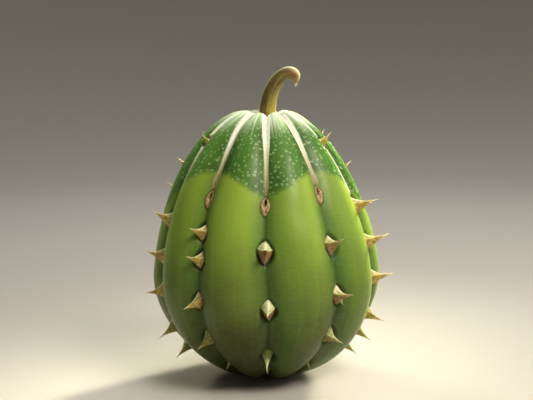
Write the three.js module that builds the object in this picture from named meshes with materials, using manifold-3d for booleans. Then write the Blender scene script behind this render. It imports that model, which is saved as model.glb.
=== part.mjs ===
// A horned melon: a ribbed, egg-shaped fruit with a row of four-sided thorns down each groove,
// and its dried, hooked stem. It stands on a small flat spot. Millimetres, +Z up, origin at the
// centre of the flat spot. Azimuth 0 is the -Y side and grows towards +X.
import * as THREE from 'three';
import { mergeVertices } from 'three/addons/utils/BufferGeometryUtils.js';
import Module from 'manifold-3d';

// Body of the fruit
const GIRTH_RADIUS = 42.5;          // rib crests at the widest level
const WIDEST_HEIGHT = 37;           // height of the widest level
const UPPER_RISE = 63.9;            // widest level up to the pole, before the hollow is sunk
const LOWER_DROP = 38.2;            // widest level down to the pole, which the flat spot cuts off
const UPPER_POWER = 1.6;            // 2 is an ellipse, less is more pointed
const LOWER_POWER = 1.86;
const HOLLOW_DEPTH = 6.6;           // hollow that the stem stands in
const HOLLOW_RADIUS = 6;

// Ribs and the grooves between them
const RIB_COUNT = 10;
const GROOVE_DEPTH = 3.8;           // at the widest level
const GROOVE_FADE = 0.45;           // how fast grooves get shallower towards the poles
const GROOVE_SHARPNESS = 0.75;      // less is a sharper crease between rounder ribs
const TWIST_TOP = 3;                // degrees that the grooves are turned at the top
const TWIST_MIDDLE = 0.1;
const TWIST_BOTTOM = 0.9;
const TWIST_TOP_START = 66;         // heights where the twist begins to change, up and down
const TWIST_BOTTOM_START = 46;
const TWIST_RANGE = 22;
const SPREAD = 2.35;                // wider ribs in front, narrower ones behind, degrees
const SPREAD_RIGHT = 0.85;
const WANDER = 0.45;                // how far grooves wind from side to side, degrees

// The upper half leans a little to one side
const LEAN = -1.6;
const LEAN_START = 40;
const LEAN_RANGE = 60;
const LEAN_RETURN = 1.1;            // the pole itself doesn't take part in the lean
const LEAN_RETURN_RADIUS = 14;

// Horns: four-sided thorns on the grooves, with a hollow upper edge and a straighter lower one
const HORN_LENGTH = 7.8;
const HORN_HALF_HEIGHT = 3.8;       // half the long diagonal of the foot, along the groove
const HORN_HALF_WIDTH = 2.6;        // half the short diagonal, across the groove
const HORN_ROOT = 2.2;              // part of the horn that is sunk in the groove
const HORN_PARTS = [0, 0.3, 0.62];  // where its cross-sections are, as parts of the length
// Sideways tilt of the horns on each groove, in degrees, from azimuth 0 round by +X
const HORN_SPLAY = [0, 11, 9, -5, 6, 3, -6, 5, -9, -20];
// Stretch of the horns' length on each groove
const HORN_REACH = [1, 1, 1.2, 1, 1, 1, 1, 1, 1.06, 1];
// Height and size of each horn, and how far its tip turns up, from top to bottom of each groove
const HORN_ROWS = [
  [[52.4, 1.08, 0.5], [33, 1, 0.5], [15.2, 0.95, 0], [7, 0.4, 0]],
  [[53.4, 1, 1.8], [36.4, 0.95, 1.2], [21.6, 0.95, 2.4], [9, 0.45, 0]],
  [
    [86.5, 0.7, 1], [64.4, 1.02, -0.9], [51.2, 1.06, 1.3], [38.4, 1.04, 1], [25.8, 1.02, -0.8],
    [19.6, 1, -0.8], [14, 0.9, -0.2],
  ],
  [
    [86.5, 0.7, 1], [74, 1.05, 1], [62, 0.8, 1], [53, 0.9, 1], [40, 0.9, 0], [27, 0.9, -1],
    [15, 0.8, -1],
  ],
  [[82, 0.6, 1], [69, 0.8, 1], [56, 1, 1], [42, 1, 0], [27, 0.9, -1], [13, 0.7, -1]],
  [[74, 0.7, 1], [61, 0.9, 1], [46, 1, 0], [31, 1, -1], [17, 0.8, -1]],
  [[84, 0.6, 1], [70, 0.8, 1], [55, 1, 1], [40, 1, 0], [26, 1, -1], [12, 0.7, -1]],
  [
    [87, 0.6, 1], [75.5, 0.95, 1], [66, 1.1, 1], [57, 0.8, 1], [46, 0.9, 0], [33, 0.9, -1],
    [20, 0.8, -1],
  ],
  [
    [87, 0.6, 1], [59.4, 1.08, 1.2], [46.5, 1, 0.4], [34.3, 0.95, -0.8], [21.6, 1.1, -1.4],
    [14.6, 1.1, -1.6],
  ],
  [[58, 0.88, 0.6], [48.8, 0.88, 0.9], [34.7, 0.85, -2], [20.6, 0.85, -1], [8.5, 0.4, 0]],
];

// Stem
const STEM_SEAT_GAP = 0.5;          // between the foot of the stem and the hollow
const STEM_SIDES = 14;
// Centre line in the XZ plane, from the hollow to the dried end
const STEM_LINE = [
  [0.15, 94.8], [0.3, 98.4], [0.6, 101], [1.2, 104], [2.4, 107.1], [4.2, 109.9],
  [6.1, 111.6], [8.2, 112.4], [10, 111.5], [10.8, 109.3], [10.5, 107.3],
];
// Radius along the centre line, as pairs of part of the length and radius
const STEM_RADII = [
  [0.12, 2.9], [0.22, 2.8], [0.34, 2.6], [0.46, 2.45], [0.58, 2.35], [0.68, 2.15],
  [0.76, 2.2], [0.82, 2.3], [0.87, 2], [0.905, 1.35], [0.94, 0.6], [0.98, 0.45],
];
const STEM_FOOT_RADII = [1, 2, 2.9];

// Mesh steps of the body
const STEPS_AROUND = 80;
const STEPS_UP = 32;

const clamp01 = (v) => Math.min(1, Math.max(0, v));

// Smooth egg outline at angle t, from 0 at the bottom pole to PI at the top pole
function outline(t) {
  const c = Math.cos(t);
  const lower = WIDEST_HEIGHT - LOWER_DROP * Math.abs(c) ** (2 / LOWER_POWER);
  const upper = WIDEST_HEIGHT + UPPER_RISE * Math.abs(c) ** (2 / UPPER_POWER);
  return new THREE.Vector2(GIRTH_RADIUS * Math.abs(Math.sin(t)), c > 0 ? lower : upper);
}

// Unit normal of that outline, pointing out of the fruit, in radius and height
function outlineNormal(t) {
  const h = 1e-3;
  const along = outline(Math.min(t + h, Math.PI)).sub(outline(Math.max(t - h, 0)));
  return new THREE.Vector2(along.y, -along.x).normalize();
}

// How deep the stem's hollow is at a distance from the axis
function hollow(radius) {
  return HOLLOW_DEPTH * Math.exp(-((radius / HOLLOW_RADIUS) ** 2));
}

// Sideways shift of the skin towards +X
function lean(radius, height) {
  const back = LEAN_RETURN * Math.exp(-((radius / LEAN_RETURN_RADIUS) ** 2));
  return LEAN * clamp01((height - LEAN_START) / LEAN_RANGE) * (1 - back);
}

// Turn of the skin about Z, in radians: the grooves' twist, unequal spacing and slow winding
function turn(azimuth, height) {
  const top = (TWIST_TOP - TWIST_MIDDLE) * clamp01((height - TWIST_TOP_START) / TWIST_RANGE);
  const bottom = (TWIST_BOTTOM - TWIST_MIDDLE) * clamp01((TWIST_BOTTOM_START - height) / TWIST_RANGE);
  const side = Math.sin(azimuth);
  const spread = (SPREAD * side + SPREAD_RIGHT * side ** 2) * clamp01((88 - height) / 25);
  const phase = 1.3 * side + 2.1 * Math.cos(2 * azimuth);
  const strength = WANDER * clamp01(height / 15) * clamp01((92 - height) / 20);
  const winding = strength * Math.sin(height / 6.2 + phase);
  return THREE.MathUtils.degToRad(TWIST_MIDDLE + top + bottom + spread + winding);
}

// Point of the ribbed skin, at an azimuth counted from groove 0
function skinPoint(azimuth, t) {
  const crest = Math.abs(Math.sin((RIB_COUNT / 2) * azimuth)) ** GROOVE_SHARPNESS;
  const fade = (outline(t).x / GIRTH_RADIUS) ** GROOVE_FADE;
  const p = outline(t).addScaledVector(outlineNormal(t), -GROOVE_DEPTH * fade * (1 - crest));
  const height = t > Math.PI / 2 ? p.y - hollow(p.x) : p.y;
  const turned = azimuth + turn(azimuth, height);
  return new THREE.Vector3(
    p.x * Math.sin(turned) + lean(p.x, height),
    -p.x * Math.cos(turned),
    height,
  );
}

// Angle t at which a groove is at a given height, by bisection below the top shoulder
function angleAtHeight(azimuth, height) {
  let low = 0;
  let high = 0.93 * Math.PI;
  for (let i = 0; i < 40; i++) {
    const middle = (low + high) / 2;
    if (skinPoint(azimuth, middle).z < height) low = middle;
    else high = middle;
  }
  return (low + high) / 2;
}

function toSolid(wasm, geometry) {
  const plain = geometry.clone();
  plain.deleteAttribute('normal');
  plain.deleteAttribute('uv');
  const merged = mergeVertices(plain, 1e-4);
  return new wasm.Manifold(new wasm.Mesh({
    numProp: 3,
    vertProperties: new Float32Array(merged.attributes.position.array),
    triVerts: new Uint32Array(merged.index.array),
  }));
}

function toGeometry(solid) {
  const mesh = solid.getMesh();
  const geometry = new THREE.BufferGeometry();
  geometry.setAttribute('position', new THREE.BufferAttribute(mesh.vertProperties, 3));
  geometry.setIndex(new THREE.BufferAttribute(mesh.triVerts, 1));
  geometry.computeVertexNormals();
  return geometry;
}

// A lathe turned about Z instead of Y, with azimuth 0 on the -Y side
function uprightLathe(profile, sides) {
  return new THREE.LatheGeometry(profile, sides).rotateX(Math.PI / 2);
}

function bodyGeometry() {
  const angles = [];
  for (let j = 0; j <= STEPS_UP; j++) angles.push((Math.PI * j) / STEPS_UP);
  const geometry = uprightLathe(angles.map(outline), STEPS_AROUND);
  const position = geometry.attributes.position;
  for (let i = 0; i <= STEPS_AROUND; i++) {
    const azimuth = (2 * Math.PI * (i % STEPS_AROUND)) / STEPS_AROUND;
    angles.forEach((t, j) => {
      position.setXYZ(i * angles.length + j, ...skinPoint(azimuth, t));
    });
  }
  return geometry;
}

// A thorn along +Z with its foot at z = 0, a root below it, and its tip turned by rise to +Y
function hornGeometry(size, rise) {
  const profile = [new THREE.Vector2(0, -HORN_ROOT), new THREE.Vector2(1, -HORN_ROOT)];
  HORN_PARTS.forEach((part) => profile.push(new THREE.Vector2(1, HORN_LENGTH * part)));
  profile.push(new THREE.Vector2(0, HORN_LENGTH));
  const geometry = uprightLathe(profile, 4);
  const position = geometry.attributes.position;
  for (let i = 0; i < position.count; i++) {
    const part = clamp01(position.getZ(i) / HORN_LENGTH);
    const thin = 1 - part;
    const high = rise * part ** 1.3 + HORN_HALF_HEIGHT * thin ** 2.9;
    const low = rise * part ** 1.3 - HORN_HALF_HEIGHT * thin ** 1.45;
    const middle = 0.45 * high + 0.55 * low + 0.32 * HORN_HALF_HEIGHT * thin;
    const y = position.getY(i);
    position.setX(i, position.getX(i) * HORN_HALF_WIDTH * thin ** 1.9);
    position.setY(i, middle + y * (y > 0 ? high - middle : middle - low));
  }
  return geometry.scale(size, size, size);
}

// A horn on its groove, square to the smooth outline apart from its sideways tilt
function hornAt(groove, height, size, rise) {
  const azimuth = (2 * Math.PI * groove) / RIB_COUNT;
  const t = angleAtHeight(azimuth, height);
  const foot = skinPoint(azimuth, t);
  const normal = outlineNormal(t);
  const splay = THREE.MathUtils.degToRad(HORN_SPLAY[groove]);
  const turned = azimuth + turn(azimuth, height) + splay;
  const out = new THREE.Vector3(
    normal.x * Math.sin(turned),
    -normal.x * Math.cos(turned),
    normal.y,
  );
  const across = new THREE.Vector3(Math.cos(turned), Math.sin(turned), 0);
  const up = new THREE.Vector3().crossVectors(out, across);
  const place = new THREE.Matrix4().makeBasis(across, up, out).setPosition(foot);
  return hornGeometry(size, rise).scale(1, 1, HORN_REACH[groove]).applyMatrix4(place);
}

// Body and horns joined into one solid, cut off flat at the height it stands on
function fruitGeometry(wasm) {
  let fruit = toSolid(wasm, bodyGeometry());
  HORN_ROWS.forEach((row, groove) => {
    row.forEach(([height, size, rise]) => {
      fruit = fruit.add(toSolid(wasm, hornAt(groove, height, size, rise)));
    });
  });
  const below = new THREE.BoxGeometry(4 * GIRTH_RADIUS, 4 * GIRTH_RADIUS, 40).translate(0, 0, -20);
  return toGeometry(fruit.subtract(toSolid(wasm, below)));
}

// Stem: a lathe whose axis is bent along the centre line. Its foot follows the hollow.
function stemGeometry() {
  const line = new THREE.CatmullRomCurve3(STEM_LINE.map(([x, z]) => new THREE.Vector3(x, 0, z)));
  const length = line.getLength();
  const seat = skinPoint(Math.PI / RIB_COUNT, Math.PI).z + STEM_SEAT_GAP;
  const rise = (radius) => hollow(0) - hollow(radius);
  const profile = [new THREE.Vector2(0, seat - STEM_LINE[0][1])];
  STEM_FOOT_RADII.forEach((radius) => {
    profile.push(new THREE.Vector2(radius, profile[0].y + rise(radius)));
  });
  STEM_RADII.forEach(([part, radius]) => {
    profile.push(new THREE.Vector2(radius, part * length));
  });
  profile.push(new THREE.Vector2(0, length));
  const geometry = uprightLathe(profile, STEM_SIDES);
  const position = geometry.attributes.position;
  for (let i = 0; i < position.count; i++) {
    const along = position.getZ(i);
    const part = clamp01(along / length);
    const centre = line.getPointAt(part);
    const tangent = line.getTangentAt(part);
    const side = new THREE.Vector3(tangent.z, 0, -tangent.x);
    centre.addScaledVector(side, position.getX(i));
    centre.addScaledVector(tangent, along - part * length);
    position.setXYZ(i, centre.x, position.getY(i), centre.z);
  }
  geometry.deleteAttribute('normal');
  geometry.deleteAttribute('uv');
  const merged = mergeVertices(geometry, 1e-4);
  merged.computeVertexNormals();
  return merged;
}

function node(name, geometry, color, roughness) {
  const material = new THREE.MeshStandardMaterial({ color, roughness, metalness: 0 });
  const mesh = new THREE.Mesh(geometry, material);
  mesh.name = name;
  return mesh;
}

const wasm = await Module();
wasm.setup();

const group = new THREE.Group();
group.add(node('fruit', fruitGeometry(wasm), 0x7f9a34, 0.4));
group.add(node('stem', stemGeometry(), 0x7a6420, 0.6));

export default group;
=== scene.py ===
"""A horned melon with its dried stem: the fine surfaces and materials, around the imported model.

Shapes are worked out in millimetres, in the model's own frame: +Z up, origin at the centre of the
flat spot, azimuth 0 on the -Y side and growing towards +X. Meshes are scaled to metres when made.
"""
import math

import bpy
import numpy as np
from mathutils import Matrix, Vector


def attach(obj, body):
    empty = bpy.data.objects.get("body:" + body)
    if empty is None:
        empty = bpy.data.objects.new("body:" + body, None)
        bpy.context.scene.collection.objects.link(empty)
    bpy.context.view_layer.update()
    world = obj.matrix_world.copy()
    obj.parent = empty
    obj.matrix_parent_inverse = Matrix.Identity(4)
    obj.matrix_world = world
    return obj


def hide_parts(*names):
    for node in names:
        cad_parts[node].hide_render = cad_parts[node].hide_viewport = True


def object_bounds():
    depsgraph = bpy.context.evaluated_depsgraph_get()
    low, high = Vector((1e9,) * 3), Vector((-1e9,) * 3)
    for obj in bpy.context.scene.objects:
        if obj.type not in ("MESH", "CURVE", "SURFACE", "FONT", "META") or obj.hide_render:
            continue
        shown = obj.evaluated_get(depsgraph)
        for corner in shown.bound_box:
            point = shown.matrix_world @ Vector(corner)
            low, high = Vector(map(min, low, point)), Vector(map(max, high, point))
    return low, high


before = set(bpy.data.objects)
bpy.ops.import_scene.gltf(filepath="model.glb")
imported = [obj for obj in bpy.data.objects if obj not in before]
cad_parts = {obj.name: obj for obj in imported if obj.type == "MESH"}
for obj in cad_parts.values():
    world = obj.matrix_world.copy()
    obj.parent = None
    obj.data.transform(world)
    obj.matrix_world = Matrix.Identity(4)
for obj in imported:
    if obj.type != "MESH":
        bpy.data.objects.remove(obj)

CAD_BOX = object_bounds()
MM = 0.001
RNG = np.random.default_rng(7)

# ---------------------------------------------------------------- driving dimensions (mm, degrees)

# Body of the fruit
GIRTH_RADIUS = 42.5
WIDEST_HEIGHT = 37.0
UPPER_RISE = 63.9
LOWER_DROP = 38.2
UPPER_POWER = 1.6
LOWER_POWER = 1.86
HOLLOW_DEPTH = 6.6
HOLLOW_RADIUS = 6.0
FLAT_SOFTNESS = 0.5           # how softly the skin rolls onto the flat spot

# Ribs and grooves
RIB_COUNT = 10
GROOVE_DEPTH = 3.8
GROOVE_FADE = 0.45
GROOVE_SHARPNESS = 0.75
GROOVE_SOFTNESS = 0.07        # rounds the very bottom of the grooves
TWIST_TOP = 3.0
TWIST_MIDDLE = 0.1
TWIST_BOTTOM = 0.9
TWIST_TOP_START = 66.0
TWIST_BOTTOM_START = 46.0
TWIST_RANGE = 22.0
SPREAD = 2.35                 # wider ribs in front, narrower ones behind, degrees
SPREAD_RIGHT = 0.85
SPREAD_END = 88.0
SPREAD_RANGE = 25.0
LEAN = -1.6
LEAN_START = 40.0
LEAN_RANGE = 60.0
LEAN_RETURN = 1.1
LEAN_RETURN_RADIUS = 14.0
WANDER = 0.45                 # how far grooves wind from side to side, degrees
WANDER_STEP = 6.2             # height for each radian of the winding
WANDER_BOTTOM_RANGE = 15.0
WANDER_END = 92.0
WANDER_TOP_RANGE = 20.0

# Horns: height, size and rise of the tip on each groove, from azimuth 0 round by +X
HORN_LENGTH = 7.8
HORN_HALF_HEIGHT = 3.8
HORN_HALF_WIDTH = 2.6
HORN_ROOT = 1.6               # how deep the horns' roots run under the skin
HORN_ROOT_PART = 0.24         # the same root, as a part of the horn's length
HORN_SPLAY = [0, 11, 9, -5, 6, 3, -6, 5, -9, -20]           # sideways tilt on each groove, degrees
HORN_REACH = [1, 1, 1.2, 1, 1, 1, 1, 1, 1.06, 1]            # stretch of the horns' length
HORN_UPPER_PALE_AND_LIT = [1, 0.5, 0.25, 0.25, 0.8, 0.25, 0.9, 0.25, 0.25, 0.25]      # of the upper side: partly the horns' own paler colour, partly painted light from above
HORN_ROWS = [
    [(52.4, 1.08, 0.5), (33, 1, 0.5), (15.2, 0.95, 0), (7, 0.4, 0)],
    [(53.4, 1, 1.8), (36.4, 0.95, 1.2), (21.6, 0.95, 2.4), (9, 0.45, 0)],
    [(86.5, 0.7, 1), (64.4, 1.02, -0.9), (51.2, 1.06, 1.3), (38.4, 1.04, 1), (25.8, 1.02, -0.8),
     (19.6, 1, -0.8), (14, 0.9, -0.2)],
    [(86.5, 0.7, 1), (74, 1.05, 1), (62, 0.8, 1), (53, 0.9, 1), (40, 0.9, 0), (27, 0.9, -1),
     (15, 0.8, -1)],
    [(82, 0.6, 1), (69, 0.8, 1), (56, 1, 1), (42, 1, 0), (27, 0.9, -1), (13, 0.7, -1)],
    [(74, 0.7, 1), (61, 0.9, 1), (46, 1, 0), (31, 1, -1), (17, 0.8, -1)],
    [(84, 0.6, 1), (70, 0.8, 1), (55, 1, 1), (40, 1, 0), (26, 1, -1), (12, 0.7, -1)],
    [(87, 0.6, 1), (75.5, 0.95, 1), (66, 1.1, 1), (57, 0.8, 1), (46, 0.9, 0), (33, 0.9, -1),
     (20, 0.8, -1)],
    [(87, 0.6, 1), (59.4, 1.08, 1.2), (46.5, 1, 0.4), (34.3, 0.95, -0.8), (21.6, 1.1, -1.4),
     (14.6, 1.1, -1.6)],
    [(58, 0.88, 0.6), (48.8, 0.88, 0.9), (34.7, 0.85, -2), (20.6, 0.85, -1), (8.5, 0.4, 0)],
]
# Small second points: groove, horn in its row, place along the horn, direction (up, out), length
SPURS = [(1, 1, 0.3, (-0.85, 0.5), 2.4), (2, 0, 0.5, (0.9, 0.1), 1.6)]

# Pits that the horns stand in, and the scars at the ends of the stripes
PIT_HALF_WIDTH = 3.1
PIT_HALF_HEIGHT = 4.6
PIT_DEPTH = 0.35
PIT_LIP = 0.06
SCAR_HALF_WIDTH = 1.7
SCAR_HALF_HEIGHT = 3.6
SCAR_LIFT = 0.45
SLIT_HALF_WIDTH = 0.5         # dark slit in the upper part of a scar
SLIT_HALF_HEIGHT = 1.6
SLIT_RISE = 1.5
SLIT_DEPTH = 0.9
SCAR_HEIGHTS = [67.5, 70.6, None, None, 70, 71, None, 69, None, 69]

# Soft bumps and dents of the skin: azimuth, height, half width, half height, size
DENTS = [(-19, 50, 7, 8, 0.5), (-15, 42, 3, 4, -0.35), (22, 46, 8, 12, 0.35), (-52, 60, 6, 9, 0.3),
         (54, 30, 6, 8, -0.3), (20, 66, 7, 5, -0.3), (130, 50, 8, 9, 0.4), (200, 38, 8, 9, -0.4)]

# How much greener and darker the two sides of each rib are than the yellowest, from azimuth 0 round
# by +X: partly the rind's own greener tone, partly painted shade on the side of each rib turned
# away from the light
RIB_TONE_AND_SHADE = [(0.75, 0.1), (0.85, 0.3), (0.4, 0.2), (0.3, 0.1), (0.5, 0.3), (0.3, 0.1),
            (0.4, 0.3), (0.4, 0.3), (0.35, 0.4), (0.1, 0.0)]

# Stripes and the dark cap
STRIPE_HALF_WIDTH = 0.8
STRIPE_SWELL_HEIGHT = 77.0    # every other stripe that ends in a scar is wider here
STRIPE_SWELL_HALF_HEIGHT = 2.6
STRIPE_BOTTOM = 71.0
STRIPE_BOTTOM_DROP = 6.0      # how much lower a stripe ends on a groove that has no scar
RIM_HIGHLIGHT_DISTANCE = 5.6            # painted highlight: a faint paler line beside the grooves that have no scar, standing in for rim light on the ribs' edges
RIM_HIGHLIGHT_HALF_WIDTH = 2.0
RIM_HIGHLIGHT_LIFT = 0.12
CAP_EDGE = 76.0
CAP_SCALLOP = 3.6
CAP_SIDE_DROP = 16.0          # how much lower the cap reaches on the far ribs

# Stem
STEM_FOOT_DROP = 0.7          # how far its foot is sunk into the hollow
STEM_LINE = [                 # distance towards +X, height
    (0.15, 94.8), (0.3, 98.4), (0.6, 101), (1.2, 104), (2.4, 107.1), (4.2, 109.9),
    (6.1, 111.6), (8.2, 112.4), (10, 111.5), (10.8, 109.3), (10.5, 107.3),
]
STEM_RADII = [                # part of the length, radius
    (0, 3.4), (0.05, 3.1), (0.12, 2.9), (0.22, 2.8), (0.34, 2.6), (0.46, 2.45), (0.58, 2.35),
    (0.68, 2.15), (0.76, 2.2), (0.82, 2.3), (0.87, 2.0), (0.905, 1.35), (0.93, 0.75), (0.955, 0.5),
    (0.98, 0.48), (0.995, 0.3), (1, 0.12),
]

# Mesh density
COLUMNS_PER_RIB = 43
ROWS = 228


# ------------------------------------------------------------------------------ small helpers

def smoothstep(low, high, value):
    part = np.clip((value - low) / (high - low), 0, 1)
    return part * part * (3 - 2 * part)


def make_object(name, verts, faces):
    mesh = bpy.data.meshes.new(name)
    mesh.from_pydata((np.asarray(verts) * MM).tolist(), [], faces)
    mesh.update()
    mesh.shade_smooth()
    obj = bpy.data.objects.new(name, mesh)
    bpy.context.scene.collection.objects.link(obj)
    return obj


def add_attribute(obj, name, values):
    values = np.asarray(values, np.float32)
    kind, key = ("FLOAT", "value") if values.ndim == 1 else ("FLOAT_VECTOR", "vector")
    layer = obj.data.attributes.new(name, kind, "POINT")
    layer.data.foreach_set(key, values.ravel())


def ring_quads(rings, sides, base=0, flip=False):
    """Quads between rings of points that follow one another, from point number base on."""
    quads = []
    for j in range(rings - 1):
        near, far = base + j * sides, base + (j + 1) * sides
        for i in range(sides):
            k = (i + 1) % sides
            first, last = (far + i, near + k) if flip else (near + k, far + i)
            quads.append((near + i, first, far + k, last))
    return quads


# --------------------------------------------------------------------------- shape of the fruit

def outline(t):
    """Radius and height of the smooth egg outline, t from 0 at the bottom pole to pi at the top."""
    c = np.cos(t)
    lower = WIDEST_HEIGHT - LOWER_DROP * np.abs(c) ** (2 / LOWER_POWER)
    upper = WIDEST_HEIGHT + UPPER_RISE * np.abs(c) ** (2 / UPPER_POWER)
    return GIRTH_RADIUS * np.abs(np.sin(t)), np.where(c > 0, lower, upper)


def outline_normal(t):
    h = 1e-3
    r1, z1 = outline(np.minimum(t + h, math.pi))
    r0, z0 = outline(np.maximum(t - h, 0))
    size = np.hypot(r1 - r0, z1 - z0)
    return (z1 - z0) / size, -(r1 - r0) / size


def lean(radius, height):
    back = LEAN_RETURN * np.exp(-((radius / LEAN_RETURN_RADIUS) ** 2))
    return LEAN * np.clip((height - LEAN_START) / LEAN_RANGE, 0, 1) * (1 - back)


def turn(azimuth, height):
    """Turn of the skin about Z: the grooves' twist, unequal spacing and slow winding."""
    top = np.clip((height - TWIST_TOP_START) / TWIST_RANGE, 0, 1)
    bottom = np.clip((TWIST_BOTTOM_START - height) / TWIST_RANGE, 0, 1)
    degrees = TWIST_MIDDLE + (TWIST_TOP - TWIST_MIDDLE) * top
    degrees = degrees + (TWIST_BOTTOM - TWIST_MIDDLE) * bottom
    side = np.sin(azimuth)
    spread = SPREAD * side + SPREAD_RIGHT * side ** 2
    spread = spread * np.clip((SPREAD_END - height) / SPREAD_RANGE, 0, 1)
    phase = 1.3 * side + 2.1 * np.cos(2 * azimuth)
    strength = WANDER * np.clip(height / WANDER_BOTTOM_RANGE, 0, 1)
    strength = strength * np.clip((WANDER_END - height) / WANDER_TOP_RANGE, 0, 1)
    return np.radians(degrees + spread + strength * np.sin(height / WANDER_STEP + phase))


def skin_point(azimuth, t, crest, lift=0.0):
    """Point of the skin. crest is 0 in a groove and 1 on a rib; lift is along the normal."""
    radius, height = outline(t)
    nr, nz = outline_normal(t)
    fade = (radius / GIRTH_RADIUS) ** GROOVE_FADE
    push = lift - GROOVE_DEPTH * fade * (1 - crest)
    r = np.maximum(radius + nr * push, 0)
    z = height + nz * push
    z = z - np.where(t > math.pi / 2, HOLLOW_DEPTH * np.exp(-((r / HOLLOW_RADIUS) ** 2)), 0)
    turned = azimuth + turn(azimuth, z)
    return np.stack([r * np.sin(turned) + lean(r, z), -r * np.cos(turned), z], -1)


def groove_crest(azimuth):
    return np.abs(np.sin(RIB_COUNT / 2 * azimuth)) ** GROOVE_SHARPNESS


def angle_at_height(azimuth, height):
    low, high = 0.0, 0.93 * math.pi
    for _ in range(40):
        middle = (low + high) / 2
        if skin_point(azimuth, middle, groove_crest(azimuth))[2] < height:
            low = middle
        else:
            high = middle
    return (low + high) / 2


def angle_from(azimuth, other):
    """Signed angle from other to azimuth, the short way round."""
    return (azimuth - other + np.pi) % (2 * np.pi) - np.pi


def groove_azimuth(groove):
    return 2 * math.pi * groove / RIB_COUNT


HORNS = [
    {"azimuth": groove_azimuth(g), "t": angle_at_height(groove_azimuth(g), z), "height": z,
     "size": size, "rise": rise, "splay": math.radians(HORN_SPLAY[g]), "place": (g, n)}
    for g, row in enumerate(HORN_ROWS) for n, (z, size, rise) in enumerate(row)
]
SCARS = [
    {"azimuth": groove_azimuth(g), "t": angle_at_height(groove_azimuth(g), z)}
    for g, z in enumerate(SCAR_HEIGHTS) if z
]


# ------------------------------------------------------------------------------------- skin

def meridian_length(t):
    """Distance along the outline from the bottom pole to t, in mm."""
    fine = np.linspace(0, math.pi, 2000)
    r, z = outline(fine)
    run = np.concatenate([[0], np.cumsum(np.hypot(np.diff(r), np.diff(z)))])
    return np.interp(t, fine, run)


def almond(across, along, half_width, half_height):
    """About 1 at the middle of an upright almond, 0 on its edge and negative outside."""
    return 1 - np.abs(across / half_width) ** 1.5 - np.abs(along / half_height) ** 1.7


def pits_and_scars(az, radius, down):
    """The horns' pits and their lips, the scars and their slits, and where there is no scar."""
    pit = np.zeros_like(az)
    lip = np.zeros_like(az)
    for horn in HORNS:
        a = angle_from(az, horn["azimuth"]) * radius
        b = down - meridian_length(horn["t"])
        k = 0.25 + 0.75 * horn["size"]
        inside = almond(a, b, PIT_HALF_WIDTH * k, PIT_HALF_HEIGHT * k)
        pit = np.maximum(pit, smoothstep(-0.12, 0.16, inside))
        lip = np.maximum(lip, np.exp(-((inside + 0.35) / 0.28) ** 2))
    scar = np.full_like(az, -9.0)
    slit = np.zeros_like(az)
    plain = np.ones_like(az)                # 1 round the grooves that have no scar
    for mark in SCARS:
        near = angle_from(az, mark["azimuth"])
        a = near * radius
        b = down - meridian_length(mark["t"])
        scar = np.maximum(scar, almond(a, b, SCAR_HALF_WIDTH, SCAR_HALF_HEIGHT))
        slit = np.maximum(slit, almond(a, b - SLIT_RISE, SLIT_HALF_WIDTH, SLIT_HALF_HEIGHT))
        plain = plain * smoothstep(0.27, 0.35, np.abs(near))
    return pit, lip, scar, slit, plain


def skin_lumps(az, height, radius, down):
    """Broad soft bumps and dents, as a height above the skin."""
    lump = (
        0.30 * np.sin(2 * az + 0.7) * np.sin(down / 26)
        + 0.16 * np.sin(5 * az + down / 14)
        + 0.08 * np.sin(11 * az - down / 7 + 1.3)
    ) * smoothstep(6, 20, radius)
    for side, level, wide, tall, size in DENTS:
        a = (az - math.radians(side)) * radius
        lump = lump + size * np.exp(-((a / wide) ** 2) - ((height - level) / tall) ** 2)
    return lump


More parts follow.
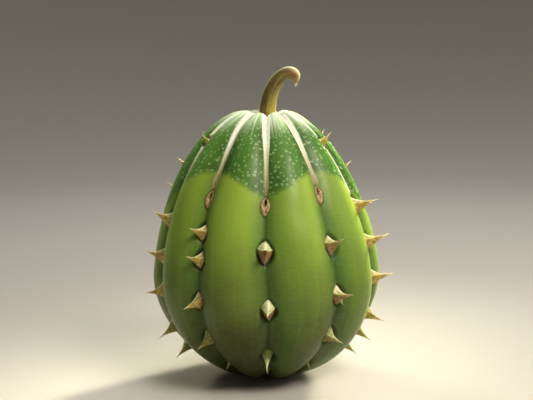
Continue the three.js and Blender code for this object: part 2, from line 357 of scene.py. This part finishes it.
def build_skin():
    steps = np.arange(RIB_COUNT * COLUMNS_PER_RIB) / COLUMNS_PER_RIB
    part = steps % 1
    azimuth = (np.floor(steps) + part - 0.6 * np.sin(2 * np.pi * part) / (2 * np.pi))
    azimuth = azimuth * 2 * np.pi / RIB_COUNT
    fine = np.linspace(0, math.pi, 2000)
    run = meridian_length(fine)
    t_rows = np.interp(np.linspace(0, run[-1], ROWS + 1)[1:-1], run, fine)
    az, t = np.meshgrid(azimuth, t_rows)
    radius, height = outline(t)
    down = meridian_length(t)

    # distances to the nearest groove, in mm across the skin
    rib_part = (az * RIB_COUNT / (2 * np.pi) + 0.5) % 1 - 0.5
    across = rib_part * 2 * np.pi / RIB_COUNT * radius

    wave = 0.5 * np.sin(down / 6.5 + 2 * np.sin(az * 3)) + 0.4 * np.sin(down / 3.1 + az * 7)
    crest = (np.sin(RIB_COUNT / 2 * az) ** 2 + GROOVE_SOFTNESS ** 2) ** (GROOVE_SHARPNESS / 2)
    pit, lip, scar, slit, plain = pits_and_scars(az, radius, down)
    scar_in = smoothstep(-0.1, 0.3, scar)

    # stripe: a low flat ribbon on the groove, down to the scar or to the edge of the cap
    stripe_bottom = STRIPE_BOTTOM - STRIPE_BOTTOM_DROP * plain
    swell = np.exp(-((height - STRIPE_SWELL_HEIGHT) / STRIPE_SWELL_HALF_HEIGHT) ** 2)
    swell = 0.7 * (1 - plain) * swell * (1 - np.cos(RIB_COUNT / 2 * az)) / 2
    widen = 1 + 0.9 * smoothstep(80, 97, height) + swell + 0.3 * plain
    half = STRIPE_HALF_WIDTH * widen * smoothstep(-1, 5, height - stripe_bottom)
    stripe = half - np.abs(across) + 0.10 * wave
    ribbon = smoothstep(-0.3, 0.5, stripe) * smoothstep(0, 3, height - stripe_bottom)

    # painted highlight: a faint paler, slightly raised line below the cap, beside each groove that
    # has no scar, standing in for rim light on the ribs' edges
    front_side = -across * np.sign(np.sin(az))
    narrow = np.minimum(radius / 32, 1)
    rim_highlight = 1 - np.abs(front_side - RIM_HIGHLIGHT_DISTANCE * narrow - 0.12 * wave) / (RIM_HIGHLIGHT_HALF_WIDTH * narrow)
    rim_highlight = np.where(plain > 0.5, rim_highlight - smoothstep(70, 80, height), -1.0)

    crest = crest * (1 - pit)
    crest = crest + (1 - crest) * 0.10 * ribbon
    lift = skin_lumps(az, height, radius, down)
    lift = lift + PIT_LIP * lip * (1 - pit) - PIT_DEPTH * pit
    lift = lift + SCAR_LIFT * scar_in - SLIT_DEPTH * smoothstep(0, 0.5, slit)
    lift = lift + RIM_HIGHLIGHT_LIFT * np.clip(rim_highlight, 0, 1) * smoothstep(6, 12, radius)
    points = skin_point(az, t, crest, lift)
    z = points[..., 2]
    z = 0.5 * (z + np.sqrt(z * z + FLAT_SOFTNESS ** 2)) - 0.06
    points[..., 2] = np.maximum(z, 0)

    rows, columns = az.shape
    verts = points.reshape(-1, 3)
    bottom = len(verts)
    top_z = skin_point(0.0, math.pi, 1.0)[2]
    verts = np.vstack([verts, [[0, 0, 0]], [[lean(0, top_z), 0, top_z]]])
    faces = ring_quads(rows, columns)
    last = (rows - 1) * columns
    for i in range(columns):
        k = (i + 1) % columns
        faces.append((bottom, k, i))
        faces.append((last + i, last + k, bottom + 1))

    obj = make_object("rind", verts, faces)

    def store(name, values):
        flat = values.reshape(-1) if values.ndim == 2 else values.reshape(-1, 3)
        ends = np.stack([flat[:columns].mean(0), flat[-columns:].mean(0)])
        add_attribute(obj, name, np.concatenate([flat, ends]))

    cap_edge = CAP_EDGE - CAP_SCALLOP * np.cos(RIB_COUNT / 2 * az)
    cap_edge = cap_edge - CAP_SIDE_DROP * smoothstep(0.31, 0.0, np.cos(az))
    rib = np.floor(az * RIB_COUNT / (2 * np.pi))
    inside_rib = (az * RIB_COUNT / (2 * np.pi) - rib - 0.5) * 2 * np.pi / RIB_COUNT * radius
    store("height", height)
    store("crest", np.abs(np.sin(RIB_COUNT / 2 * az)))
    store("cap", height - cap_edge)
    store("stripe", stripe - 3 * smoothstep(1, -1, height - stripe_bottom))
    store("plain", plain)
    store("pit", pit)
    store("scar", scar)
    store("slit", slit)
    store("rim_highlight", rim_highlight)
    sides = (np.arange(2 * RIB_COUNT) + 0.5) * np.pi / RIB_COUNT
    # greener, darker sides of the ribs: partly the rind's own tone, partly painted shade
    store("tone_and_shade", np.interp(az, sides, np.ravel(RIB_TONE_AND_SHADE), period=2 * np.pi))
    store("grain", np.stack([np.cos(az) * 42, np.sin(az) * 42, down], -1))
    store("panel", np.stack([inside_rib + 37.3 * rib, down, np.zeros_like(az)], -1))
    return obj


# ------------------------------------------------------------------------------------ horns

def thorn_rings(rise, sides=36, levels=20):
    """Rings of one thorn in its own frame (x across, y up the fruit, z out), and its coordinates.

    The upper edge sweeps in fast and runs out to the tip, the lower edge is straighter.
    """
    theta = np.arange(sides) * 2 * np.pi / sides
    c, s = np.cos(theta), np.sin(theta)
    shape_x = np.sign(c) * np.abs(c) ** 1.6
    shape_y = np.sign(s) * np.abs(s) ** 1.6
    points, along, upper = [], [], []
    for u in np.concatenate([[-HORN_ROOT_PART, -0.08], np.linspace(0, 1, levels) ** 0.9]):
        v = max(u, 0)
        lifted = rise * v ** 1.3
        high = lifted + HORN_HALF_HEIGHT * ((1 - v) ** 2.9 + 0.02)
        low = lifted - HORN_HALF_HEIGHT * ((1 - v) ** 1.45 + 0.02)
        middle = 0.45 * high + 0.55 * low + 0.45 * HORN_HALF_HEIGHT * (1 - v)
        wide = HORN_HALF_WIDTH * ((1 - v) ** 1.9 + 0.025)
        y = middle + np.where(s > 0, high - middle, middle - low) * shape_y
        z = np.full(sides, HORN_LENGTH * u if u > 0 else HORN_ROOT * u / HORN_ROOT_PART)
        points.append(np.stack([wide * shape_x, y, z], -1))
        along.append(np.full(sides, u))
        upper.append(s)
    return np.array(points), np.array(along), np.array(upper)


def spur_rings(start, direction, length, sides=12, levels=8):
    """Rings of a small spike from a point on a thorn, in the thorn's frame."""
    up, out = np.array(direction) / np.hypot(*direction)
    theta = np.arange(sides) * 2 * np.pi / sides
    points = []
    for u in np.linspace(-0.35, 1, levels):
        v = max(u, 0)
        thick = 0.95 * ((1 - v) ** 1.5 + 0.04)
        a, b = np.cos(theta) * thick * 0.7, np.sin(theta) * thick
        bend = 0.3 * v * v
        points.append(np.stack([a, start[1] + (up * u + bend * out) * length + b * out,
                                start[2] + out * u * length - b * up], -1))
    return np.array(points)


def build_horns():
    verts, faces, along, upper, tone_and_shade = [], [], [], [], []
    base = 0

    def add(rings, u, s, horn, size, tilt, colours):
        nonlocal base
        levels, sides = rings.shape[:2]
        ends = [rings[-1].mean(0) + (rings[-1].mean(0) - rings[-2].mean(0)) * 0.4,
                rings[0].mean(0)]
        local = np.vstack([rings.reshape(-1, 3), ends]) * size
        out_part = np.clip(local[:, 2] / (HORN_LENGTH * size), 0, 1)
        local[:, 0] += tilt[0] * out_part ** 1.4 * HORN_LENGTH * size
        local[:, 1] += tilt[1] * out_part ** 1.4 * HORN_LENGTH * size
        local[:, 2] *= HORN_REACH[horn["place"][0]]
        x, y = local[:, 0].copy(), local[:, 1].copy()
        local[:, 0] = x * math.cos(tilt[2]) - y * math.sin(tilt[2])
        local[:, 1] = x * math.sin(tilt[2]) + y * math.cos(tilt[2])
        foot = skin_point(horn["azimuth"], horn["t"], 0.0)
        nr, nz = outline_normal(horn["t"])
        turned = horn["azimuth"] + turn(horn["azimuth"], horn["height"]) + horn["splay"]
        out = np.array([nr * math.sin(turned), -nr * math.cos(turned), nz])
        side = np.array([math.cos(turned), math.sin(turned), 0])
        up = np.cross(out, side)
        verts.append(foot + local[:, :1] * side + local[:, 1:2] * up + local[:, 2:] * out)
        faces.extend(ring_quads(levels, sides, base))
        last = base + (levels - 1) * sides
        for i in range(sides):
            k = (i + 1) % sides
            faces.append((last + i, last + k, base + levels * sides))
            faces.append((base + k, base + i, base + levels * sides + 1))
        along.append(np.concatenate([u.ravel(), [1, -0.3]]))
        upper.append(np.concatenate([s.ravel(), [0, 0]]))
        tone_and_shade.append(np.tile(colours, (len(local), 1)))
        base += len(local)

    for horn in HORNS:
        size = horn["size"] * RNG.uniform(0.96, 1.04)
        tilt = [*np.tan(np.radians(RNG.uniform(-3, 3, 2))), math.radians(RNG.uniform(-5, 5))]
        pale_and_lit = HORN_UPPER_PALE_AND_LIT[horn["place"][0]]
        green = float(smoothstep(36, 14, horn["height"]))
        colours = (pale_and_lit, green, RNG.uniform(0, 1))
        rings, u, s = thorn_rings(horn["rise"])
        add(rings, u, s, horn, size, tilt, colours)
        for groove, number, part, direction, length in SPURS:
            if (groove, number) == horn["place"]:
                at = int(round(part * rings.shape[0]))
                edge = rings[at][np.argmin(rings[at][:, 1] * -np.sign(direction[0]))]
                start = edge - np.array([0, np.sign(direction[0]) * 0.5, 0])
                spike = spur_rings(start, direction, length)
                flat = np.full(spike.shape[:2], 0.6)
                add(spike, flat, flat * 0, horn, size, tilt, colours)
    obj = make_object("horns", np.vstack(verts), faces)
    add_attribute(obj, "along", np.concatenate(along))
    add_attribute(obj, "upper", np.concatenate(upper))
    add_attribute(obj, "tone_and_shade", np.concatenate(tone_and_shade))
    return obj


# ------------------------------------------------------------------------------------- stem

def smooth_line(points, count):
    """Evenly spaced points and tangents on a Catmull-Rom curve through the points."""
    p = np.array(points, float)
    p = np.vstack([2 * p[0] - p[1], p, 2 * p[-1] - p[-2]])
    fine = []
    for k in range(1, len(p) - 2):
        for f in np.linspace(0, 1, 60, endpoint=False):
            a, b, c, d = p[k - 1:k + 3]
            fine.append(0.5 * (2 * b + (c - a) * f + (2 * a - 5 * b + 4 * c - d) * f * f
                               + (3 * b - a - 3 * c + d) * f ** 3))
    fine.append(p[-2])
    fine = np.array(fine)
    run = np.concatenate([[0], np.cumsum(np.linalg.norm(np.diff(fine, axis=0), axis=1))])
    want = np.linspace(0, run[-1], count)
    centre = np.stack([np.interp(want, run, fine[:, i]) for i in range(2)], -1)
    tangent = np.gradient(centre, axis=0)
    tangent /= np.linalg.norm(tangent, axis=1)[:, None]
    return centre, tangent, run[-1]


def build_stem(rings=130, sides=72):
    centre, tangent, length = smooth_line(STEM_LINE, rings)
    part = np.linspace(0, 1, rings)
    radius = np.interp(part, *np.array(STEM_RADII).T)
    theta = np.arange(sides) * 2 * np.pi / sides
    sway = 0.25 * np.sin(3 * part[:, None] + 0.5)
    ridge = 0.035 * np.cos(6 * theta[None, :]) + 0.03 * np.cos(5 * theta[None, :] + 1 + sway)
    ridge = ridge + 0.015 * np.cos(17 * theta[None, :] + 1.5 * part[:, None])
    outer = np.abs(theta - np.pi)
    inner = np.pi - outer
    # slightly raised ridges on the stem's two edges as seen from the camera, coloured pale below as
    # painted highlights standing in for rim light
    ridge_highlight_width = 0.27 + 0.65 * smoothstep(0.66, 0.84, part[:, None])
    outer_ridge_highlight = np.exp(-((outer[None, :] / ridge_highlight_width) ** 4))
    inner_ridge_highlight = np.exp(-((inner[None, :] / 0.22) ** 4)) * smoothstep(0.76, 0.66, part[:, None])
    fade = 1 - 0.8 * part[:, None]
    r = radius[:, None] * (1 + ridge * fade) + 0.1 * (outer_ridge_highlight + inner_ridge_highlight) * fade
    side = np.stack([tangent[:, 1], -tangent[:, 0]], -1)
    x = centre[:, None, 0] + side[:, None, 0] * np.cos(theta) * r
    z = centre[:, None, 1] + side[:, None, 1] * np.cos(theta) * r
    y = np.sin(theta)[None, :] * r
    foot = np.clip(1 - part[:, None] / 0.08, 0, 1)
    z = z - STEM_FOOT_DROP * foot
    verts = np.stack([x, y, z], -1).reshape(-1, 3)
    last = (rings - 1) * sides
    count = len(verts)
    verts = np.vstack([verts, [[centre[0, 0], 0, centre[0, 1] - STEM_FOOT_DROP]],
                       [[centre[-1, 0] + 0.1 * tangent[-1, 0], 0,
                         centre[-1, 1] + 0.1 * tangent[-1, 1]]]])
    faces = ring_quads(rings, sides, flip=True)
    for i in range(sides):
        k = (i + 1) % sides
        faces.append((count, i, k))
        faces.append((last + k, last + i, count + 1))
    obj = make_object("dry_stem", verts, faces)
    around = np.broadcast_to(theta, (rings, sides))
    grain = np.stack([np.cos(around) * 3, np.sin(around) * 3,
                      np.broadcast_to(part[:, None] * length, around.shape)], -1).reshape(-1, 3)
    add_attribute(obj, "grain", np.vstack([grain, [[0, 0, 0]], [[0, 0, length]]]))
    for name, values in (("along", part[:, None]), ("outer_ridge_highlight", outer_ridge_highlight),
                         ("inner_ridge_highlight", inner_ridge_highlight), ("painted_light_side", np.cos(theta)[None, :])):
        flat = np.broadcast_to(values, around.shape).reshape(-1)
        add_attribute(obj, name, np.concatenate([flat, [0, 1 if name == "along" else 0]]))
    return obj


# -------------------------------------------------------------------------------- materials

def rgb(code):
    """Linear colour of a hex code written as it looks on screen."""
    out = []
    for i in (0, 2, 4):
        c = int(code[i:i + 2], 16) / 255
        out.append(c / 12.92 if c <= 0.04045 else ((c + 0.055) / 1.055) ** 2.4)
    return (*out, 1.0)


class Shader:
    """Short calls for building one material's nodes."""

    def __init__(self, name):
        self.material = bpy.data.materials.new(name)
        self.material.use_nodes = True
        self.tree = self.material.node_tree
        self.surface = self.tree.nodes["Principled BSDF"]

    def node(self, kind, inputs=None, **settings):
        made = self.tree.nodes.new(kind)
        for key, value in settings.items():
            setattr(made, key, value)
        for key, value in (inputs or {}).items():
            self.put(made.inputs[key], value)
        return made

    def put(self, socket, value):
        if isinstance(value, bpy.types.NodeSocket):
            self.tree.links.new(value, socket)
        else:
            socket.default_value = value

    def attribute(self, name, output="Fac"):
        return self.node("ShaderNodeAttribute", attribute_name=name).outputs[output]

    def math(self, operation, a, b=0.0):
        return self.node("ShaderNodeMath", {0: a, 1: b}, operation=operation).outputs[0]

    def span(self, value, low, high, to_low=0.0, to_high=1.0):
        """Smooth change from to_low to to_high as value goes from low to high."""
        return self.node("ShaderNodeMapRange", {0: value, 1: low, 2: high, 3: to_low, 4: to_high},
                         interpolation_type="SMOOTHSTEP").outputs[0]

    def mix(self, part, a, b):
        made = self.node("ShaderNodeMix", data_type="RGBA")
        self.put(made.inputs[0], part)
        self.put(made.inputs[6], a)
        self.put(made.inputs[7], b)
        return made.outputs[2]

    def noise(self, vector, scale, detail=3.0, rough=0.55):
        return self.node("ShaderNodeTexNoise", {"Vector": vector, "Scale": scale,
                         "Detail": detail, "Roughness": rough}).outputs["Fac"]

    def stretch(self, vector, factors):
        return self.node("ShaderNodeMapping", {"Vector": vector, "Scale": factors}).outputs[0]

    def where(self):
        """Object position in mm."""
        place = self.node("ShaderNodeTexCoord").outputs["Object"]
        return self.stretch(place, (1000, 1000, 1000))

    def ramp(self, value, stops):
        made = self.node("ShaderNodeValToRGB", {0: value})
        ramp = made.color_ramp
        while len(ramp.elements) < len(stops):
            ramp.elements.new(0.5)
        for element, (place, colour) in zip(ramp.elements, stops):
            element.position = place
            element.color = colour
        return made.outputs[0]

    def bump(self, height, strength, distance):
        made = self.node("ShaderNodeBump", {"Height": height, "Strength": strength,
                         "Distance": distance})
        self.put(self.surface.inputs["Normal"], made.outputs[0])

    def set(self, **values):
        for key, value in values.items():
            self.put(self.surface.inputs[key.replace("_", " ")], value)


def rind_material():
    s = Shader("rind")
    where = s.where()
    grain = s.attribute("grain", "Vector")
    height = s.attribute("height")
    crest = s.attribute("crest")
    broad = s.noise(where, 0.05, 2)
    streak = s.noise(s.stretch(grain, (0.45, 0.45, 0.03)), 1.0, 3)
    fine = s.noise(s.stretch(grain, (0.35, 0.35, 3.2)), 1.0, 2)

    # below the cap: yellow-green at the top, darkening to olive towards the foot as painted shade,
    # and darker green towards the grooves as painted shade
    level = s.math("ADD", s.math("DIVIDE", height, 100.0),
                   s.math("MULTIPLY", s.math("SUBTRACT", broad, 0.5), 0.25))
    body = s.ramp(level, [(0.0, rgb("282c0d")), (0.2, rgb("424a17")), (0.4, rgb("6c8133")),
                          (0.58, rgb("8aa83c")), (0.8, rgb("97b240"))])
    # painted shade: darker greens for the rib sides next to the grooves
    groove_shade = s.ramp(level, [(0.0, rgb("242b12")), (0.25, rgb("32471e")), (0.5, rgb("43692d")),
                           (0.8, rgb("56792c"))])
    # greener, darker rib sides: partly the rind's own tone, partly painted shade on the side turned
    # away from the light
    body = s.mix(s.attribute("tone_and_shade"), body, s.mix(0.62, body, rgb("456f22")))
    side = s.math("MULTIPLY", s.span(crest, 0.12, 0.85, 0.95, 0.0),
                  s.span(s.attribute("tone_and_shade"), 0.0, 0.6, 0.6, 1.0))
    body = s.mix(side, body, groove_shade)
    # painted shade: a dark line along the bottom of each groove
    body = s.mix(s.span(crest, 0.0, 0.2, 0.4, 0.0), body, rgb("1f2a10"))
    body = s.mix(s.span(streak, 0.42, 0.75, 0.0, 0.08), body, rgb("b4c556"))
    body = s.mix(s.span(streak, 0.5, 0.25, 0.0, 0.07), body, rgb("5a7226"))
    body = s.mix(s.span(fine, 0.42, 0.65, 0.0, 0.05), body, rgb("c4cf7a"))

    # painted highlight: a faint paler line beside the grooves that have no scar, standing in for
    # rim light on the ribs' edges
    rim_highlight = s.attribute("rim_highlight")
    rim_highlight = s.math("MULTIPLY", s.span(rim_highlight, 0.0, 1.0, 0.0, 0.22), s.span(height, 3.0, 16.0))
    body = s.mix(rim_highlight, body, rgb("b4c840"))

    # cap: dark speckled green, darker on the rib sides than on the crests as painted shade, paling
    # to the shoulder partly in its own colour and partly as a painted sheen
    cells = s.node("ShaderNodeTexVoronoi", {"Vector": s.attribute("panel", "Vector"),
                   "Scale": 0.56, "Randomness": 1.0}, voronoi_dimensions="2D")
    sized = s.math("MULTIPLY", cells.outputs["Color"], 0.36)
    sized = s.math("ADD", sized, s.span(s.noise(where, 1.6, 2), 0.3, 0.7, -0.12, 0.1))
    speck = s.math("SUBTRACT", sized, cells.outputs["Distance"])
    speck = s.span(speck, -0.1, 0.09)
    # painted shade: the cap's green is darker on the rib sides than on the crests
    dark = s.mix(s.span(crest, 0.3, 1.0), rgb("29491a"), rgb("436f27"))
    dark = s.mix(s.span(broad, 0.4, 0.65, 0.0, 0.5), dark, rgb("5f8f35"))
    dark = s.mix(s.span(streak, 0.45, 0.7, 0.0, 0.2), dark, rgb("6d9a58"))
    dark = s.mix(s.math("MULTIPLY", speck, 0.45), dark, rgb("a5c78a"))
    # pale shoulder: partly the cap's own paler green, partly a painted sheen, reaching lower on the
    # crests
    pale_and_lit = s.mix(s.span(streak, 0.3, 0.7), rgb("a3c48c"), rgb("dfe9d0"))
    paling_and_sheen = s.math("ADD", height, s.math("MULTIPLY", s.math("SUBTRACT", streak, 0.5), 12.0))
    paling_and_sheen = s.math("ADD", paling_and_sheen, s.math("MULTIPLY", crest, 4.0))
    cap = s.mix(s.span(paling_and_sheen, 94.0, 104.0), dark, pale_and_lit)
    edge = s.math("ADD", s.attribute("cap"),
                  s.math("MULTIPLY", s.math("SUBTRACT", s.noise(where, 0.35, 3), 0.5), 2.4))
    colour = s.mix(s.span(edge, -1.3, 1.5), body, cap)

    # cream stripes down the grooves of the cap
    stripe = s.attribute("stripe")
    cream = s.ramp(s.span(height, 70.0, 98.0), [(0.0, rgb("6f6538")), (0.25, rgb("9c9265")),
                   (0.5, rgb("c2c09a")), (0.8, rgb("e6e9d8"))])
    cream = s.mix(s.span(s.noise(where, 1.2, 3), 0.4, 0.7, 0.0, 0.35), cream, rgb("b7b795"))
    cream = s.mix(s.math("MULTIPLY", s.attribute("plain"), 0.8), cream, rgb("e4ead2"))
    colour = s.mix(s.span(stripe, -0.2, 0.25), colour, cream)

    # pits under the horns, darkened as painted shade, and the scars
    pit = s.attribute("pit")
    colour = s.mix(s.math("MULTIPLY", pit, 0.85), colour, rgb("2a3415"))
    scar = s.attribute("scar")
    crust = s.mix(s.span(s.noise(where, 1.3, 4), 0.35, 0.65), rgb("7a6236"), rgb("c4ab7c"))
    colour = s.mix(s.span(scar, -0.55, -0.1, 0.0, 0.75), colour, rgb("3a3a1a"))
    colour = s.mix(s.span(scar, -0.05, 0.2), colour, crust)
    colour = s.mix(s.span(s.attribute("slit"), -0.1, 0.4), colour, rgb("321c0e"))

    s.set(Base_Color=colour, Roughness=s.span(s.noise(where, 0.35, 3), 0.3, 0.7, 0.36, 0.46))
    s.set(Subsurface_Weight=0.08, Subsurface_Radius=(0.5, 1.0, 0.2), Subsurface_Scale=0.002)
    s.set(Specular_IOR_Level=0.2, Coat_Weight=0.05, Coat_Roughness=0.3)
    s.set(Sheen_Weight=0.16, Sheen_Roughness=0.22, Sheen_Tint=rgb("dcea4a"))
    relief = s.math("ADD", s.math("MULTIPLY", fine, 0.35),
                    s.math("MULTIPLY", s.noise(where, 1.4, 5), 0.5))
    s.bump(relief, 0.22, 0.0003)
    return s.material


def horn_material():
    s = Shader("horn")
    where = s.where()
    along = s.attribute("along")
    upper = s.attribute("upper")
    tone_and_shade = s.node("ShaderNodeSeparateXYZ", {0: s.attribute("tone_and_shade", "Vector")}).outputs
    mottle = s.noise(where, 0.9, 4)
    tan = s.mix(s.span(mottle, 0.35, 0.7), rgb("8f7a2c"), rgb("cfb552"))
    # lower faces browner: partly their own colour, partly painted shade under the light from above
    under = s.mix(s.span(upper, -0.1, -0.7), tan, rgb("8f7a46"))
    spot = s.math("MULTIPLY", s.span(along, 0.4, 0.6), s.span(along, 0.97, 0.85))
    spot = s.math("MULTIPLY", spot, s.span(upper, -0.1, -0.45))
    tan = s.mix(s.span(tone_and_shade[0], 0.3, 0.6, 0.0, 1.0), tan, under)
    # upper faces pale: partly their own colour, partly painted light from above; whiter still
    # towards the side corners as a painted highlight
    top = s.mix(s.span(mottle, 0.35, 0.7), rgb("9fae68"), rgb("d8dfb4"))
    top = s.mix(s.span(upper, 0.4, 0.08), top, rgb("f0f3dc"))
    facet = s.math("MULTIPLY", s.span(upper, -0.04, 0.06), tone_and_shade[0])
    # painted highlight along the top ridge
    ridge = s.math("MULTIPLY", s.span(upper, 0.8, 0.97), 0.85)
    colour = s.mix(facet, tan, top)
    colour = s.mix(ridge, colour, rgb("e6e4bc"))
    leaf = s.mix(s.span(mottle, 0.35, 0.7), rgb("5f7328"), rgb("93a048"))
    colour = s.mix(s.math("MULTIPLY", tone_and_shade[1], s.span(along, 0.8, 0.15)), colour, leaf)
    colour = s.mix(s.span(along, 0.5, 1.0, 0.0, 0.85), colour, rgb("eee2ba"))
    spot = s.math("MULTIPLY", spot, s.span(tone_and_shade[0], 0.9, 1.0, 0.0, 0.9))
    colour = s.mix(spot, colour, rgb("6e1c0c"))
    low = s.math("MULTIPLY", s.span(upper, -0.25, -0.85), s.span(along, 0.5, 0.1))
    low = s.math("MULTIPLY", low, s.span(tone_and_shade[0], 0.2, 0.6, 0.3, 1.0))
    crust = s.mix(s.span(s.noise(where, 1.8, 4), 0.4, 0.6), rgb("7a4a34"), rgb("cfa58c"))
    colour = s.mix(s.math("MULTIPLY", low, 0.85), colour, crust)
    # painted shade: darker at the root, where the horn meets the skin
    colour = s.mix(s.span(along, 0.08, -0.05, 0.0, 0.8), colour, rgb("40351a"))
    s.set(Base_Color=colour, Roughness=s.span(mottle, 0.3, 0.7, 0.4, 0.55))
    s.set(Subsurface_Weight=0.15, Subsurface_Radius=(1.0, 0.6, 0.25), Subsurface_Scale=0.0012)
    s.bump(s.noise(where, 2.6, 4), 0.4, 0.00025)
    return s.material


def stem_material():
    s = Shader("dry_stem")
    grain = s.attribute("grain", "Vector")
    along = s.attribute("along")
    fibre = s.noise(s.stretch(grain, (1.0, 1.0, 0.09)), 1.1, 4, 0.55)
    broad = s.noise(s.stretch(grain, (1.0, 1.0, 0.3)), 0.3, 2)
    colour = s.ramp(fibre, [(0.32, rgb("3a2d10")), (0.46, rgb("54471a")), (0.58, rgb("6c5d26")),
                            (0.74, rgb("8c7a36"))])
    colour = s.mix(s.span(broad, 0.42, 0.62, 0.0, 0.5), colour, rgb("5f5c24"))
    # painted light: the stem's lower part is golder on its +X side, the side turned to the light
    painted_light_gold = s.math("MULTIPLY", s.span(s.attribute("painted_light_side"), -0.1, 0.7), s.span(along, 0.6, 0.1))
    colour = s.mix(s.math("MULTIPLY", painted_light_gold, 0.6), colour, rgb("b39a3e"))
    colour = s.mix(s.span(along, 0.66, 0.84, 0.0, 0.75), colour, rgb("7d4f22"))
    # painted highlight: pale ridges along the stem's edges, standing in for rim light
    colour = s.mix(s.math("MULTIPLY", s.attribute("inner_ridge_highlight"), 0.75), colour, rgb("c6c168"))
    colour = s.mix(s.math("MULTIPLY", s.attribute("outer_ridge_highlight"), 0.85), colour, rgb("d6d896"))
    colour = s.mix(s.span(along, 0.93, 0.97, 0.0, 0.8), colour, rgb("e2cfa0"))
    s.set(Base_Color=colour, Roughness=0.5)
    s.set(Sheen_Weight=0.14, Sheen_Roughness=0.35, Sheen_Tint=rgb("e4eda0"))
    s.bump(fibre, 0.5, 0.0004)
    return s.material


# ------------------------------------------------------------------------------------ build

rind = build_skin()
rind.data.materials.append(rind_material())
horns = build_horns()
horns.data.materials.append(horn_material())
stem = build_stem()
stem.data.materials.append(stem_material())

for piece, slot, node in ((rind, "rind", "fruit"), (horns, "rind", "fruit"),
                          (stem, "stem", "stem")):
    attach(piece, "root")
    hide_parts(node)


# ------------------------------------------------------------------------- floor, lights, camera

def build_floor():
    """A pale floor that curves up all round, so there is no horizon line."""
    flat, curve, sides = 0.55, 0.9, 96
    profile = [(0.18, 0.0), (0.36, 0.0), (flat, 0.0)]
    for k in range(1, 25):
        a = math.pi / 2 * k / 24
        profile.append((flat + curve * math.sin(a), curve * (1 - math.cos(a))))
    profile.append((flat + curve, 1.6))
    verts = [(0, 0, -0.0001)]
    faces = []
    for radius, height in profile:
        for i in range(sides):
            a = 2 * math.pi * i / sides
            verts.append((radius * math.cos(a), radius * math.sin(a), height - 0.0001))
    for i in range(sides):
        faces.append((0, 1 + i, 1 + (i + 1) % sides))
    faces.extend(ring_quads(len(profile), sides, base=1, flip=True))
    mesh = bpy.data.meshes.new("floor")
    mesh.from_pydata(verts, [], faces)
    mesh.shade_smooth()
    obj = bpy.data.objects.new("floor", mesh)
    bpy.context.scene.collection.objects.link(obj)
    s = Shader("floor")
    s.set(Base_Color=rgb("b0aca6"), Roughness=0.75)
    mesh.materials.append(s.material)


def add_area(name, azimuth, elevation, size, power, colour, beam, target):
    """A soft square lamp; azimuth is counted from the camera's side towards +X."""
    a, e = math.radians(azimuth), math.radians(elevation)
    away = Vector((math.sin(a) * math.cos(e), -math.cos(a) * math.cos(e), math.sin(e)))
    data = bpy.data.lights.new(name, "AREA")
    data.energy = power
    data.size = size
    data.spread = math.radians(beam)
    data.color = rgb(colour)[:3]
    lamp = bpy.data.objects.new(name, data)
    lamp.location = target + away * LAMP_DISTANCE
    lamp.rotation_euler = away.to_track_quat("Z", "Y").to_euler()
    lamp.visible_camera = False
    lamp.visible_glossy = beam > 90
    bpy.context.scene.collection.objects.link(lamp)


CAMERA_DISTANCE = 0.40
CAMERA_ELEVATION = 8.5
CAMERA_AIM = 0.57             # part of the whole height that the camera aims at
CAMERA_LENS = 72.6
WORLD_STRENGTH = 0.27
LAMP_DISTANCE = 0.6
LAMPS = [                     # name, azimuth, elevation, size, power, colour, beam
    ("key", 44, 48, 0.22, 4.2, "fff6e4", 180),
    ("side", 92, 22, 0.30, 0.6, "fff6e4", 180),
    ("top", 168, 62, 0.45, 2.2, "ffffff", 180),
    ("rim", -146, 28, 0.14, 0.06, "fffadc", 24),
    ("edge", 148, 20, 0.14, 0.40, "fffadc", 20),
]

top_height = Vector(CAD_BOX[1]).z
aim = Vector((0, 0, top_height * CAMERA_AIM))
build_floor()
for settings in LAMPS:
    add_area(*settings, target=aim)

world = bpy.data.worlds.new("studio")
world.use_nodes = True
world.node_tree.nodes["Background"].inputs[0].default_value = rgb("e6e6e2")
world.node_tree.nodes["Background"].inputs[1].default_value = WORLD_STRENGTH
bpy.context.scene.world = world
bpy.context.scene.view_settings.view_transform = "Standard"

lens = bpy.data.cameras.new("camera")
lens.lens = CAMERA_LENS
camera = bpy.data.objects.new("camera", lens)
tilt = math.radians(CAMERA_ELEVATION)
camera.location = aim + Vector((0, -math.cos(tilt), math.sin(tilt))) * CAMERA_DISTANCE
camera.rotation_euler = (math.pi / 2 - tilt, 0, 0)
bpy.context.scene.collection.objects.link(camera)
bpy.context.scene.camera = camera
